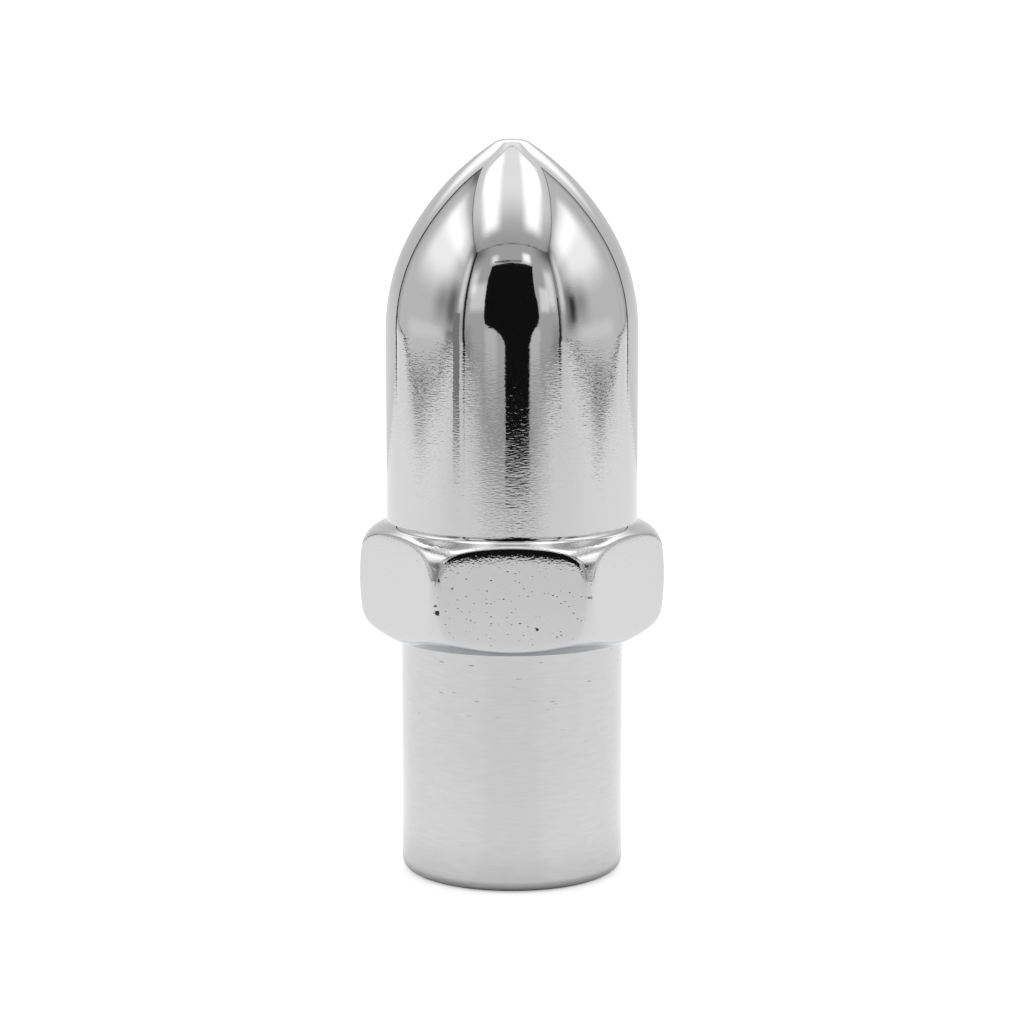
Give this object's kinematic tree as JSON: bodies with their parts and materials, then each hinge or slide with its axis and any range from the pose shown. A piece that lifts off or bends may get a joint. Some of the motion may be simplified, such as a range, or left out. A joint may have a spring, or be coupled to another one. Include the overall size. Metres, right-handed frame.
{
  "type": "lug nut",
  "caption": "Closed-end wheel lug nut: a plain shank with a blind stud hole, a crowned hex collar and a round body that ends in a pointed dome nose.",
  "frame": {"origin": "centre of the shank's open end face, which the nut stands on", "axes": "+Z along the nut's axis from the open end to the nose; -Y square to one flat of the hex; +X towards a corner of the hex"},
  "size_m": [0.024, 0.021, 0.0576],
  "materials": {
    "chrome_plate": "polished"
  },
  "bodies": {
    "root": {"lug_nut": "chrome_plate"}
  },
  "joints": []
}
